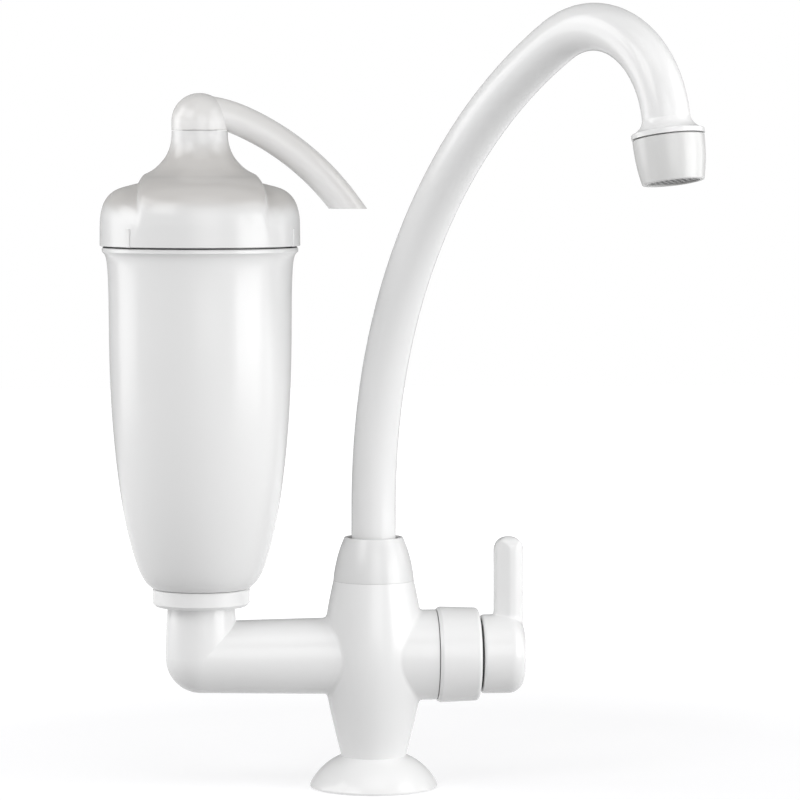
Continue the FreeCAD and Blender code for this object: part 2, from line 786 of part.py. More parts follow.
def lever_screw():
    head_x = screw_head_x()
    head = on_valve(rod(screw_head_r, head_x, screw_head - seat_gap))
    thread = on_valve(rod(screw_r, head_x - screw_length, screw_length))
    slot_x = head_x + screw_head - screw_slot_depth
    half = screw_slot / 2
    cross = [Part.makeBox(screw_slot_depth + 1, 2 * wide, 2 * tall, V(slot_x, -wide, axis_z - tall))
             for wide, tall in ((screw_slot_reach, half), (half, screw_slot_reach))]
    return head.fuse(thread).cut(cross)


def lever_plug():
    """Small cover over the screw, flush with the hub's end and bevelled round its edge."""
    x = hub_end_x - plug_thick
    disc = Outline(0, x).line(plug_r, x).line(plug_r, hub_end_x - plug_bevel)
    disc.line(plug_r - plug_bevel, hub_end_x).line(0, hub_end_x)
    return on_valve(disc.turned())


# Filter

def union_stack_z():
    """Top of the stub's flange, where the union gasket lies."""
    return union_z + union_lip + stub_flange


def filter_union():
    """Collar nut that pulls the housing's threaded foot down on the stub."""
    bore_r = stub_flange_r + thread_gap + seat_gap
    top_z = union_z + union_height
    edge = 0.5
    collar = Outline(stub_r + free_gap, union_z).line(union_r - union_bevel, union_z)
    collar.line(union_r, union_z + union_bevel).line(union_r, top_z - edge)
    collar.line(union_r - edge, top_z).line(bore_r, top_z)
    collar.line(bore_r, union_z + union_lip).line(stub_r + free_gap, union_z + union_lip)
    return on_filter(collar.turned())


def union_gasket():
    return on_filter(ring(stub_bore_r, stub_flange_r - free_gap, union_stack_z(), union_gasket_thick))


def housing_heights():
    """Heights of the outline's points, shared out between the housing's floor and rim."""
    span = rim_z - housing_floor_z
    return [housing_floor_z + share * span for share in (0.078, 0.17, 0.335, 0.555, 0.856)]


def filter_housing():
    """Tapered cup with a threaded foot, a rim and a threaded neck for the cap."""
    heights = housing_heights()
    radii = (housing_knee_r, housing_low_r, housing_mid_r, housing_high_r, housing_top_r)
    wall = housing_wall_thick
    thread_z = union_stack_z() + union_gasket_thick
    floor_z = housing_floor_z + 1.5 * wall

    cup = Outline(stub_bore_r, thread_z).line(stub_flange_r, thread_z).line(stub_flange_r, housing_floor_z)
    cup.line(housing_foot_r, housing_floor_z)
    cup.curve((housing_foot_r + 0.85 * foot_bend, housing_floor_z + 0.75 * foot_bend), *zip(radii, heights))
    cup.curve(*((housing_top_r + out * (rim_r - housing_top_r), rim_z - down * rim_flare)
                for out, down in ((0.16, 1), (0.30, 0.43), (0.51, 0.17), (1, 0))))
    cup.line(rim_r, rim_top_z - rim_edge).line(rim_r - rim_edge, rim_top_z).line(neck_r, rim_top_z)
    cup.line(neck_r, neck_top_z - rim_edge).line(neck_r - rim_edge, neck_top_z).line(neck_r - wall, neck_top_z)
    cup.line(neck_r - wall, rim_z)
    cup.curve(*reversed([(r - wall, z) for r, z in zip(radii, heights)]))
    cup.line(housing_foot_r - 0.5 * wall, floor_z).line(stub_bore_r, floor_z)
    return on_filter(cup.turned())


def end_cap_lower():
    """Dish under the filter block, on a short foot with openings for the water."""
    foot_r = end_cap_foot_r
    hole_r = foot_r - 2 * end_cap_wall
    rim_inner_r = end_cap_r - end_cap_wall
    floor_z = housing_floor_z + 1.5 * housing_wall_thick
    plate_z = block_z - end_cap_thick
    dish = Outline(hole_r, floor_z).line(foot_r, floor_z).line(foot_r, plate_z).line(end_cap_r, plate_z)
    dish.line(end_cap_r, block_z + end_cap_rim).line(rim_inner_r, block_z + end_cap_rim)
    dish.line(rim_inner_r, block_z).line(0, block_z).line(0, plate_z).line(hole_r, plate_z)
    window = end_cap_window
    height = plate_z - floor_z - 2 * end_cap_wall
    slots = [Part.makeBox(2 * reach, 2 * side, height, V(-reach, -side, floor_z + end_cap_wall))
             for reach, side in ((foot_r + 1, window / 2), (window / 2, foot_r + 1))]
    return on_filter(dish.turned().cut(slots))


def block_top_z():
    return block_z + block_length


def filter_block():
    return on_filter(ring(block_bore_r, block_r, block_z, block_length))


def filter_felt():
    sleeve_z0 = block_z + end_cap_rim + seat_gap
    sleeve_length = block_length - 2 * (end_cap_rim + seat_gap)
    return on_filter(ring(block_r, block_r + felt_thick, sleeve_z0, sleeve_length))


def spigot_seal_z():
    return neck_top_z + spigot_seal_rise


def end_cap_upper():
    """Dish over the filter block, with the spigot that leads the filtered water into the cap."""
    plate_z = block_top_z()
    top_z = plate_z + end_cap_thick
    rim_inner_r = end_cap_r - end_cap_wall
    spigot_top_z = neck_top_z + spigot_reach
    dish = Outline(spigot_bore_r, plate_z).line(rim_inner_r, plate_z)
    dish.line(rim_inner_r, plate_z - end_cap_rim).line(end_cap_r, plate_z - end_cap_rim)
    dish.line(end_cap_r, top_z).line(spigot_r, top_z)
    dish.line(spigot_r, spigot_top_z - 1).line(spigot_r - 1, spigot_top_z).line(spigot_bore_r, spigot_top_z)
    groove = ring(spigot_r - seal_groove_depth, spigot_r + 1, spigot_seal_z() - seal_groove_width / 2,
                  seal_groove_width)
    return on_filter(dish.turned().cut(groove))


def spigot_seal():
    return on_filter(seal_ring(spigot_r - seal_groove_depth, seal_groove_depth, spigot_seal_z()))


# Cap

def cap_form(shrink):
    """The cap's outside, or the same form made smaller by a wall: low lobes and a tall band between flats."""
    foot_r = cap_skirt_r - shrink
    side_r = cap_shoulder_r - shrink
    lobe_z = cap_shoulder_z + lobe_rise - shrink
    top_z = band_top_z - shrink

    def with_shoulder(bend, rise):
        """A skirt whose shoulder is bent in by bend while it rises by rise."""
        outline = Outline(0, cap_z).line(foot_r, cap_z).line(side_r, cap_shoulder_z)
        return outline.arc(side_r - 0.24 * bend, cap_shoulder_z + 0.58 * rise - 0.7 * shrink,
                           side_r - bend + 0.5 * shrink, cap_shoulder_z + rise - shrink)

    lobes = with_shoulder(lobe_bend, lobe_bend_rise).line(lobe_top_r, lobe_z).line(0, lobe_z)

    tall = with_shoulder(band_bend, band_bend_rise).line(band_top_r - 0.3 * shrink, top_z)
    tall.curve((neck_outer_r + neck_flare - shrink, band_top_z + 0.345 * neck_rise - 0.6 * shrink),
               (neck_outer_r + 0.225 * neck_flare - shrink, band_top_z + 0.646 * neck_rise),
               (neck_outer_r - shrink, neck_seam_z))
    tall.line(0, neck_seam_z)

    half_top = band_half - shrink
    half_foot = half_top + math.tan(math.radians(band_draft)) * (band_top_z - cap_z)
    right_side = ((half_foot, cap_z), (half_top, band_top_z), (half_top, neck_seam_z))
    left_side = [(-x, z) for x, z in reversed(right_side)]
    corners = [V(x, -cap_skirt_r, z) for x, z in (*right_side, *left_side, right_side[0])]
    band = Part.Face(Part.makePolygon(corners)).extrude(V(0, 2 * cap_skirt_r, 0))
    return lobes.turned().fuse(tall.turned().common(band))


def filter_cap():
    """Screw cap: skirt, two low lobes, the tall band with its neck, and spanner lugs."""
    outside = cap_form(0)
    seat_z = neck_top_z + seat_gap + cap_seal_thick
    mouth_r = neck_r - housing_wall_thick - free_gap
    inside = cap_form(cap_wall).common(rod(mouth_r, cap_z - 1, neck_seam_z - cap_z))
    thread = rod(neck_r + cap_thread_gap, cap_z - 1, seat_z - cap_z + 1)
    sleeve = rod(sleeve_r, sleeve_z, neck_seam_z - sleeve_z)
    cap = outside.cut([inside, thread]).fuse(sleeve)
    cap = cap.cut([rod(spigot_r + spigot_gap, sleeve_z - 1, neck_collar_z - sleeve_z + 1),
                   rod(small_foot_r + run_gap, sleeve_z, neck_seam_z)])
    lugs = []
    for angle in lug_angles:
        corner = V(cap_skirt_r - lug_root, -lug_width / 2, cap_z)
        lug = Part.makeBox(lug_proud + lug_root, lug_width, lug_height, corner)
        lug.rotate(V(0, 0, 0), V(0, 0, 1), angle)
        lugs.append(lug)
    return on_filter(cap.fuse(lugs))


def cap_seal():
    margin = 0.3
    return on_filter(ring(neck_r - housing_wall_thick + margin, neck_r - margin, neck_top_z + seat_gap,
                          cap_seal_thick - seat_gap))


# Small filter spout

def small_path():
    start = (0, small_start_z)
    return path_in_plane(start, 90 + small_start_dip, small_arcs, small_tail, V(1, 0, 0))[0]


def filter_spout():
    """Domed head with a horn-shaped spout cut level at its mouth, and a foot that turns in the cap's neck."""
    seam = neck_seam_z + small_seam
    half = math.sqrt(0.5)
    head = Outline(0, seam).line(head_r, seam).line(head_r, head_round_z)
    head.arc(head_r * half, head_round_z + head_r * half, 0, head_round_z + head_r)
    edge = small_foot_edge
    foot = Outline(0, small_foot_z).line(small_foot_r - edge, small_foot_z)
    foot.line(small_foot_r, small_foot_z + edge).line(small_foot_r, seam + 1).line(0, seam + 1)
    horn = swept(small_path(), small_r).cut(rod(neck_outer_r + free_gap, seam - neck_rise, neck_rise))
    spout = head.turned().fuse([foot.turned(), horn])

    bore = swept(small_path(), small_bore_r)
    riser = rod(small_bore_r, small_foot_z - 1, small_start_z - small_foot_z + 1)
    knee = Part.makeSphere(small_bore_r, V(0, 0, small_start_z))
    reach = 3 * cap_skirt_r
    under_mouth = Part.makeBox(reach, reach, reach, V(0, -reach / 2, small_mouth_z - reach))
    seal_low = small_seal_z() - seal_groove_width / 2
    grooves = [ring(small_foot_r - clip_groove, small_foot_r + 1, clip_z - seat_gap / 2, clip_thick + seat_gap),
               ring(small_foot_r - seal_groove_depth, small_foot_r + 1, seal_low, seal_groove_width)]
    return on_filter(spout.cut([bore, riser, knee, under_mouth] + grooves))


def small_seal_z():
    return neck_seam_z - small_seal_drop


def small_seal():
    return on_filter(seal_ring(small_foot_r - seal_groove_depth, seal_groove_depth, small_seal_z()))


def small_clip():
    """Open clip in the foot's groove, under the neck's inner collar."""
    clip = ring(small_foot_r - clip_groove + run_gap, clip_r, clip_z, clip_thick)
    half = 0.75 * small_foot_r
    opening = Part.makeBox(clip_r + 1, 2 * half, clip_thick + 2, V(0, -half, clip_z - 1))
    return on_filter(clip.cut(opening))


def nodes():
    low_seal, high_seal = seal_heights()
    return {
        "base_flange": base_flange(),
        "deck_gasket": deck_gasket(),
        "inlet_shank": inlet_shank(),
        "clamp_washer": clamp_washer(),
        "shank_nut": shank_nut(),
        "tap_body": tap_body(),
        "spout_nut": spout_nut(),
        "spout_tube": spout_tube(),
        "spout_ring": spout_ring(),
        "spout_seal_lower": spout_seal(low_seal),
        "spout_seal_upper": spout_seal(high_seal),
        "aerator_shell": aerator_shell(),
        "aerator_washer": aerator_washer(),
        "aerator_insert": aerator_insert(),
        "valve_seal": valve_seal(),
        "fixed_disc": fixed_disc(),
        "turning_disc": turning_disc(),
        "valve_housing": valve_housing(),
        "spindle_seal": spindle_seal(),
        "valve_spindle": valve_spindle(),
        "valve_collar": valve_collar(),
        "lever": lever(),
        "lever_screw": lever_screw(),
        "lever_plug": lever_plug(),
        "filter_union": filter_union(),
        "union_gasket": union_gasket(),
        "filter_housing": filter_housing(),
        "filter_end_cap_lower": end_cap_lower(),
        "filter_block": filter_block(),
        "filter_felt": filter_felt(),
        "filter_end_cap_upper": end_cap_upper(),
        "spigot_seal": spigot_seal(),
        "cap_seal": cap_seal(),
        "filter_cap": filter_cap(),
        "filter_spout": filter_spout(),
        "filter_spout_seal": small_seal(),
        "filter_spout_clip": small_clip(),
    }


os.makedirs("parts", exist_ok=True)
for name, shape in nodes().items():
    solids = shape.Solids
    whole = solids[0] if len(solids) == 1 else Part.makeCompound(solids)
    whole.exportStep("parts/" + name + ".step")
    print(name, len(solids), "solid", round(whole.Volume / 1000, 2), "cm3", "valid" if whole.isValid() else "BAD")
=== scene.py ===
"""A white plastic kitchen tap with a water filter on its side arm, on a pale deck.

The file follows the tap as it is put together, from the deck upwards, with one section for each piece or
group of like pieces. Lengths are metres, +Z is up, -Y faces the user and the filter is at -X.
"""

import bpy
import math
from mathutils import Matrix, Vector


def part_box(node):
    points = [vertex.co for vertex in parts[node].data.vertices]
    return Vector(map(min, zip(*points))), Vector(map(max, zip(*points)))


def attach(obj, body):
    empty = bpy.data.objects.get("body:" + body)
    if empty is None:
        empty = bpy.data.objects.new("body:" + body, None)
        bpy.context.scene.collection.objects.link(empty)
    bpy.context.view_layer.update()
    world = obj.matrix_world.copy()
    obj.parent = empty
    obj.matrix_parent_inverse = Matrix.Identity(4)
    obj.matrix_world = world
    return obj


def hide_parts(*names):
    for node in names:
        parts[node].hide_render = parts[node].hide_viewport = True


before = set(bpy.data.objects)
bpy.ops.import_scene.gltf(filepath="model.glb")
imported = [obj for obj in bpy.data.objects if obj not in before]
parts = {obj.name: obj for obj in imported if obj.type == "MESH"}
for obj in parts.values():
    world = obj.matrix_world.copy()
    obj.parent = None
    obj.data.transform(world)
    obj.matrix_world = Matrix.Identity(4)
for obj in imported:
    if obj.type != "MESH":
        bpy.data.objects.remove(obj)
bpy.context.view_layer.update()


# The camera
# The product photograph was taken from far off with a long lens, a little to the left of the tap and
# level with its gooseneck, and tilted down by under four degrees.

camera_turn = math.radians(-5.17)
camera_tilt = math.radians(3.75)
camera_away = 1.7834
camera_aside = 0.0124
camera_height = 0.2987

camera = bpy.data.objects.new("camera", bpy.data.cameras.new("camera"))
bpy.context.scene.collection.objects.link(camera)
camera.data.lens = 171.8
camera.data.sensor_width = 36.0
camera.location = (math.sin(camera_turn) * camera_away + math.cos(camera_turn) * camera_aside,
                   -math.cos(camera_turn) * camera_away + math.sin(camera_turn) * camera_aside,
                   camera_height)
camera.rotation_euler = (math.radians(90) - camera_tilt, 0, camera_turn)
bpy.context.scene.camera = camera
bpy.context.scene.view_settings.view_transform = "Standard"


# The deck and the white surround
# A pale matt sheet runs under the tap and away behind it. It keeps the tap's soft shadow near the foot and
# throws only a little light back up. Its glow rises with the distance from the tap, till it is white.

def seen_directly(nodes, links):
    """1 for what the camera, a reflection or clear plastic looks at, 0 for light that is passed on."""
    path = nodes.new("ShaderNodeLightPath")
    either = nodes.new("ShaderNodeMath")
    either.operation = "MAXIMUM"
    links.new(path.outputs["Is Camera Ray"], either.inputs[0])
    links.new(path.outputs["Is Glossy Ray"], either.inputs[1])
    any_of = nodes.new("ShaderNodeMath")
    any_of.operation = "MAXIMUM"
    links.new(either.outputs[0], any_of.inputs[0])
    links.new(path.outputs["Is Transmission Ray"], any_of.inputs[1])
    return any_of.outputs[0]


deck_half = 3.0
deck_drop = 0.0003
deck_bounce = (0.55, 0.55, 0.55, 1)
deck_shadow = (0.42, 0.42, 0.43, 1)
shadow_reach = 0.25
white_reach = 0.80
glow_near = 0.66
glow_far = 1.0
deck_mesh = bpy.data.meshes.new("deck")
deck_mesh.from_pydata([(-deck_half, -deck_half, 0), (deck_half, -deck_half, 0),
                       (deck_half, deck_half, 0), (-deck_half, deck_half, 0)], [], [(0, 1, 2, 3)])
deck = bpy.data.objects.new("deck", deck_mesh)
bpy.context.scene.collection.objects.link(deck)
deck.location.z = -deck_drop

deck_paint = bpy.data.materials.new("deck_paint")
deck_paint.use_nodes = True
nodes = deck_paint.node_tree.nodes
links = deck_paint.node_tree.links
nodes.clear()
passed_on = nodes.new("ShaderNodeBsdfDiffuse")
passed_on.inputs["Color"].default_value = deck_bounce
shadow_part = nodes.new("ShaderNodeBsdfDiffuse")
shadow_part.inputs["Color"].default_value = deck_shadow
deck_place = nodes.new("ShaderNodeTexCoord")
from_tap = nodes.new("ShaderNodeVectorMath")
from_tap.operation = "LENGTH"
links.new(deck_place.outputs["Object"], from_tap.inputs[0])
whiter = nodes.new("ShaderNodeMapRange")
whiter.inputs["From Min"].default_value = shadow_reach
whiter.inputs["From Max"].default_value = white_reach
whiter.inputs["To Min"].default_value = glow_near
whiter.inputs["To Max"].default_value = glow_far
links.new(from_tap.outputs["Value"], whiter.inputs["Value"])
glow_part = nodes.new("ShaderNodeEmission")
links.new(whiter.outputs["Result"], glow_part.inputs["Strength"])
looked_at = nodes.new("ShaderNodeAddShader")
links.new(shadow_part.outputs[0], looked_at.inputs[0])
links.new(glow_part.outputs[0], looked_at.inputs[1])
deck_choice = nodes.new("ShaderNodeMixShader")
links.new(seen_directly(nodes, links), deck_choice.inputs[0])
links.new(passed_on.outputs[0], deck_choice.inputs[1])
links.new(looked_at.outputs[0], deck_choice.inputs[2])
deck_out = nodes.new("ShaderNodeOutputMaterial")
links.new(deck_choice.outputs[0], deck_out.inputs["Surface"])
deck_mesh.materials.append(deck_paint)

fill_strength = 0.25
sheet_strength = 1.0
surround = bpy.data.worlds.new("surround")
bpy.context.scene.world = surround
surround.use_nodes = True
nodes = surround.node_tree.nodes
links = surround.node_tree.links
nodes.clear()
soft_fill = nodes.new("ShaderNodeBackground")
soft_fill.inputs["Strength"].default_value = fill_strength
soft_fill.inputs["Color"].default_value = (1, 1, 1, 1)
white_sheet = nodes.new("ShaderNodeBackground")
white_sheet.inputs["Color"].default_value = (1, 1, 1, 1)
white_sheet.inputs["Strength"].default_value = sheet_strength
surround_choice = nodes.new("ShaderNodeMixShader")
links.new(seen_directly(nodes, links), surround_choice.inputs[0])
links.new(soft_fill.outputs[0], surround_choice.inputs[1])
links.new(white_sheet.outputs[0], surround_choice.inputs[2])
surround_out = nodes.new("ShaderNodeOutputWorld")
links.new(surround_choice.outputs[0], surround_out.inputs["Surface"])


# The dark card
# A large dark card stands behind the tap. Only the gloss of the plastic sees it, as a thin grey line along
# the white outlines, which is how white goods are kept apart from a white sheet.

card_away = 0.9
card_width = 4.0
card_height = 3.0
card_low_z = 0.01
card_grey = (0.35, 0.35, 0.35, 1)
card_mesh = bpy.data.meshes.new("dark_card")
card_mesh.from_pydata([(-card_width / 2, card_away, card_low_z), (card_width / 2, card_away, card_low_z),
                       (card_width / 2, card_away, card_height), (-card_width / 2, card_away, card_height)],
                      [], [(0, 1, 2, 3)])
card = bpy.data.objects.new("dark_card", card_mesh)
bpy.context.scene.collection.objects.link(card)
card.visible_camera = False
card.visible_diffuse = False
card.visible_transmission = False
card.visible_shadow = False
card_paint = bpy.data.materials.new("card_paint")
card_paint.use_nodes = True
card_skin = card_paint.node_tree.nodes["Principled BSDF"]
card_skin.inputs["Base Color"].default_value = card_grey
card_skin.inputs["Roughness"].default_value = 0.9
card_mesh.materials.append(card_paint)


# The studio lamps
# Large soft boxes stand round the tap. The strong ones are at the right, low and high. On the left a low
# one grazes the filter, which shades the body from it, and raised ones light the front, the side and the top.

lamp_aim = Vector((0.02, -0.05, 0.2))
lamp_away = 1.5
lamps = {
    "right_low_box": dict(turn=66, rise=5, width=1.1, height=0.7, power=11.2),
    "right_edge_box": dict(turn=105, rise=5, width=0.7, height=0.7, power=2.4),
    "right_high_box": dict(turn=75, rise=32, width=0.7, height=0.7, power=3.8),
    "left_low_box": dict(turn=-102, rise=5, width=0.9, height=0.7, power=4.4),
    "left_high_box": dict(turn=-46, rise=32, width=0.7, height=0.7, power=5.2),
    "left_side_box": dict(turn=-88, rise=32, width=0.8, height=0.7, power=5.3),
    "front_box": dict(turn=8, rise=14, width=0.8, height=0.9, power=4.0),
    "top_box": dict(turn=0, rise=62, width=1.0, height=0.8, power=3.0),
}
for name, lamp in lamps.items():
    light = bpy.data.lights.new(name, "AREA")
    light.shape = "RECTANGLE"
    light.size = lamp["width"]
    light.size_y = lamp["height"]
    light.energy = lamp["power"]
    box = bpy.data.objects.new(name, light)
    bpy.context.scene.collection.objects.link(box)
    turn = camera_turn + math.radians(lamp["turn"])
    rise = math.radians(lamp["rise"])
    towards = Vector((math.sin(turn) * math.cos(rise), -math.cos(turn) * math.cos(rise), math.sin(rise)))
    box.location = lamp_aim + towards * lamp_away
    box.rotation_euler = towards.to_track_quat("Z", "Y").to_euler()


# The tap's body and its base flange
# One moulding in glossy white plastic carries the arm, the elbow and the valve's boss, and a bell of the
# same plastic covers the deck hole. Their gloss has only a faint waviness from the flow in the mould.

def painted(piece, material):
    """Gives a piece one material all over."""
    if piece.material_slots:
        for place in piece.material_slots:
            place.material = material
    else:
        piece.data.materials.append(material)


def fresh_material(name):
    """A new material, its nodes, its links and the shader of its skin."""
    material = bpy.data.materials.new(name)
    material.use_nodes = True
    nodes = material.node_tree.nodes
    return material, nodes, material.node_tree.links, nodes["Principled BSDF"]


def noise_between(nodes, links, scale, detail, low, high):
    """Fine noise over the piece, spread between two values."""
    where = nodes.new("ShaderNodeTexCoord")
    noise = nodes.new("ShaderNodeTexNoise")
    noise.inputs["Scale"].default_value = scale
    noise.inputs["Detail"].default_value = detail
    links.new(where.outputs["Object"], noise.inputs["Vector"])
    spread = nodes.new("ShaderNodeMapRange")
    spread.inputs["From Min"].default_value = 0.3
    spread.inputs["From Max"].default_value = 0.7
    spread.inputs["To Min"].default_value = low
    spread.inputs["To Max"].default_value = high
    links.new(noise.outputs["Fac"], spread.inputs["Value"])
    return spread.outputs["Result"]


def tinted(nodes, links, amount, low, high):
    """A colour that goes from low to high with the amount."""
    tint = nodes.new("ShaderNodeMix")
    tint.data_type = "RGBA"
    tint.inputs["A"].default_value = (*low, 1)
    tint.inputs["B"].default_value = (*high, 1)
    links.new(amount, tint.inputs["Factor"])
    return tint.outputs["Result"]


def rippled(nodes, links, height, strength, depth):
    """A skin that rises and falls with the height given."""
    ripple = nodes.new("ShaderNodeBump")
    ripple.inputs["Strength"].default_value = strength
    ripple.inputs["Distance"].default_value = depth
    links.new(height, ripple.inputs["Height"])
    return ripple.outputs["Normal"]


flow_drift = 0.004
polish_less = 0.012
polish_more = 0.018


def white_moulding(name, colour, gloss=0.22):
    """Moulded white plastic: a near white that drifts a little, with a polished but not perfect skin."""
    material, nodes, links, skin = fresh_material(name)
    drift = noise_between(nodes, links, 18.0, 2.0, 0.0, 1.0)
    low = [shade - flow_drift for shade in colour]
    high = [shade + flow_drift for shade in colour]
    links.new(tinted(nodes, links, drift, low, high), skin.inputs["Base Color"])
    polish = noise_between(nodes, links, 60.0, 3.0, gloss - polish_less, gloss + polish_more)
    links.new(polish, skin.inputs["Roughness"])
    grain = noise_between(nodes, links, 700.0, 2.0, 0.0, 1.0)
    links.new(rippled(nodes, links, grain, 0.06, 0.00004), skin.inputs["Normal"])
    return material


# Each piece's white is set to its tone under these lamps, so the small differences between the whites of this
# one plastic are painted light and shade.
body_white = white_moulding("body_white", (0.84, 0.84, 0.84))
painted(parts["tap_body"], body_white)
painted(parts["base_flange"], body_white)


# The shank, its nut and its washer
# Below the deck a threaded pipe of natural nylon clamps the tap. Its half-inch thread is cut in the pipe
# from end to end, a little shallower where the nut and the body hold it, and the supply screws onto it.

shank_crest_r = 0.01048
shank_held_r = 0.00990
shank_root_r = 0.00932
shank_bore_r = 0.0070
shank_pitch = 0.001814
shank_columns = 64
shank_rows_a_pitch = 8
crest_width = 1.35
flank_steepness = 3.4
end_height = 0.2
below_nut = 0.0004
above_nut = 0.0002
below_body = 0.0003


def on_ring(r, z, columns, centre_x=0.0):
    """A ring of points round an upright axis."""
    turns = [2 * math.pi * column / columns for column in range(columns)]
    return [(centre_x + r * math.cos(turn), r * math.sin(turn), z) for turn in turns]


def turned_faces(rings, columns):
    """Faces that join each ring of points to the next, and the last to the first."""
    faces = []
    for ring in range(rings):
        next_ring = (ring + 1) % rings
        for column in range(columns):
            beside = (column + 1) % columns
            faces.append((ring * columns + column, ring * columns + beside,
                          next_ring * columns + beside, next_ring * columns + column))
    return faces


def new_piece(name, points, faces, material):
    """A piece made from points and faces, in one material."""
    mesh = bpy.data.meshes.new(name)
    mesh.from_pydata(points, [], faces)
    mesh.materials.append(material)
    piece = bpy.data.objects.new(name, mesh)
    bpy.context.scene.collection.objects.link(piece)
    return piece


def nylon(name, colour):
    """Natural nylon: milky, half matt, with the fine drag marks of the mould."""
    material, nodes, links, skin = fresh_material(name)
    cloud = noise_between(nodes, links, 60.0, 4.0, 0.0, 1.0)
    low = [shade * 0.95 for shade in colour]
    links.new(tinted(nodes, links, cloud, low, colour), skin.inputs["Base Color"])
    links.new(noise_between(nodes, links, 300.0, 3.0, 0.38, 0.55), skin.inputs["Roughness"])
    drag = noise_between(nodes, links, 1400.0, 2.0, 0.0, 1.0)
    links.new(rippled(nodes, links, drag, 0.25, 0.00005), skin.inputs["Normal"])
    return material


shank_nylon = nylon("shank_nylon", (0.72, 0.72, 0.69))
for name in ("shank_nut", "clamp_washer"):
    painted(parts[name], shank_nylon)

shank_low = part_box("inlet_shank")[0][2]
shank_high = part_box("inlet_shank")[1][2]
nut_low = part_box("shank_nut")[0][2]
nut_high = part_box("shank_nut")[1][2]
body_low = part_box("tap_body")[0][2]


def thread_crest_r(z):
    """The pipe's crests, shallower inside the nut and inside the body, and run out at both ends."""
    held = nut_low - below_nut < z < nut_high + above_nut or z > body_low - below_body
    crest = shank_held_r if held else shank_crest_r
    from_end = min(z - shank_low, shank_high - z)
    return min(crest, shank_root_r + end_height * (shank_crest_r - shank_root_r) + from_end)


shank_rows = int((shank_high - shank_low) / shank_pitch * shank_rows_a_pitch)
shank_points = []
for row in range(shank_rows + 1):
    z = shank_low + (shank_high - shank_low) * row / shank_rows
    for column in range(shank_columns):
        angle = 2 * math.pi * column / shank_columns
        turn_up = ((z - shank_low) / shank_pitch - column / shank_columns) % 1.0
        flank = min(1.0, max(0.0, crest_width - flank_steepness * abs(turn_up - 0.5)))
        r = shank_root_r + (thread_crest_r(z) - shank_root_r) * flank
        shank_points.append((r * math.cos(angle), r * math.sin(angle), z))
for z in (shank_high, shank_low):
    shank_points += on_ring(shank_bore_r, z, shank_columns)
shank_faces = turned_faces(shank_rows + 3, shank_columns)
threaded_shank = new_piece("threaded_shank", shank_points, shank_faces, shank_nylon)
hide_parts("inlet_shank")
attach(threaded_shank, "tap")


# The seals
# Black rubber rings and washers lie between the pieces and under the flange. They are moulded, and dull
# with a dusting of talc.

def sealing_rubber(name):
    """Dull black rubber with a faint bloom of talc."""
    material, nodes, links, skin = fresh_material(name)
    bloom = noise_between(nodes, links, 220.0, 6.0, 0.0, 1.0)
    shade = tinted(nodes, links, bloom, (0.012, 0.012, 0.013), (0.035, 0.035, 0.037))
    links.new(shade, skin.inputs["Base Color"])
    links.new(noise_between(nodes, links, 400.0, 3.0, 0.55, 0.75), skin.inputs["Roughness"])
    grain = noise_between(nodes, links, 2500.0, 2.0, 0.0, 1.0)
    links.new(rippled(nodes, links, grain, 0.4, 0.00004), skin.inputs["Normal"])
    return material


seal_black = sealing_rubber("seal_black")
for name in ("deck_gasket", "spout_seal_lower", "spout_seal_upper", "aerator_washer", "valve_seal",
             "spindle_seal", "union_gasket", "spigot_seal", "cap_seal", "filter_spout_seal"):
    painted(parts[name], seal_black)


# The nuts turned by hand
# The conical nut that holds the gooseneck, the ring nut of the valve and the collar under the filter are
# mouldings of the same white plastic. They are handled when the tap is put together, so they shine less.

nut_white = white_moulding("nut_white", (0.84, 0.84, 0.84), gloss=0.24)
for name in ("valve_collar", "filter_union"):
    painted(parts[name], nut_white)
# The conical nut's white is set greyer than the other nuts': painted shade.
painted(parts["spout_nut"], white_moulding("cone_shaded_white", (0.76, 0.76, 0.76), gloss=0.24))


# The gooseneck
# A white plastic tube, bent while warm, with a bead at its foot and a flared collar at its end. A split
# nylon ring keeps its foot in the body.

tube_white = white_moulding("tube_white", (0.815, 0.815, 0.815), gloss=0.20)
painted(parts["spout_tube"], tube_white)

ring_nylon = nylon("ring_nylon", (0.74, 0.74, 0.72))
painted(parts["spout_ring"], ring_nylon)


# The nozzle
# A white shell screws onto the gooseneck's end and holds a moulded lattice that breaks up the water. The
# lattice is a greyer plastic, and lime has dulled it a little.

# The shell's white is set darker than the other pieces': painted shade.
shaded_shell_white = white_moulding("shaded_shell_white", (0.67, 0.67, 0.665), gloss=0.24)
painted(parts["aerator_shell"], shaded_shell_white)

lattice_plastic, nodes, links, skin = fresh_material("lattice_plastic")
lime = noise_between(nodes, links, 320.0, 5.0, 0.0, 1.0)
links.new(tinted(nodes, links, lime, (0.22, 0.22, 0.22), (0.36, 0.36, 0.355)), skin.inputs["Base Color"])
links.new(noise_between(nodes, links, 500.0, 3.0, 0.30, 0.50), skin.inputs["Roughness"])
painted(parts["aerator_insert"], lattice_plastic)


# The lever
# The hub and its upright paddle are one glossy moulding that turns the valve's spindle. A flush cover
# hides the steel screw that holds it.

lever_white = white_moulding("lever_white", (0.85, 0.85, 0.85), gloss=0.20)
for name in ("lever", "lever_plug"):
    painted(parts[name], lever_white)

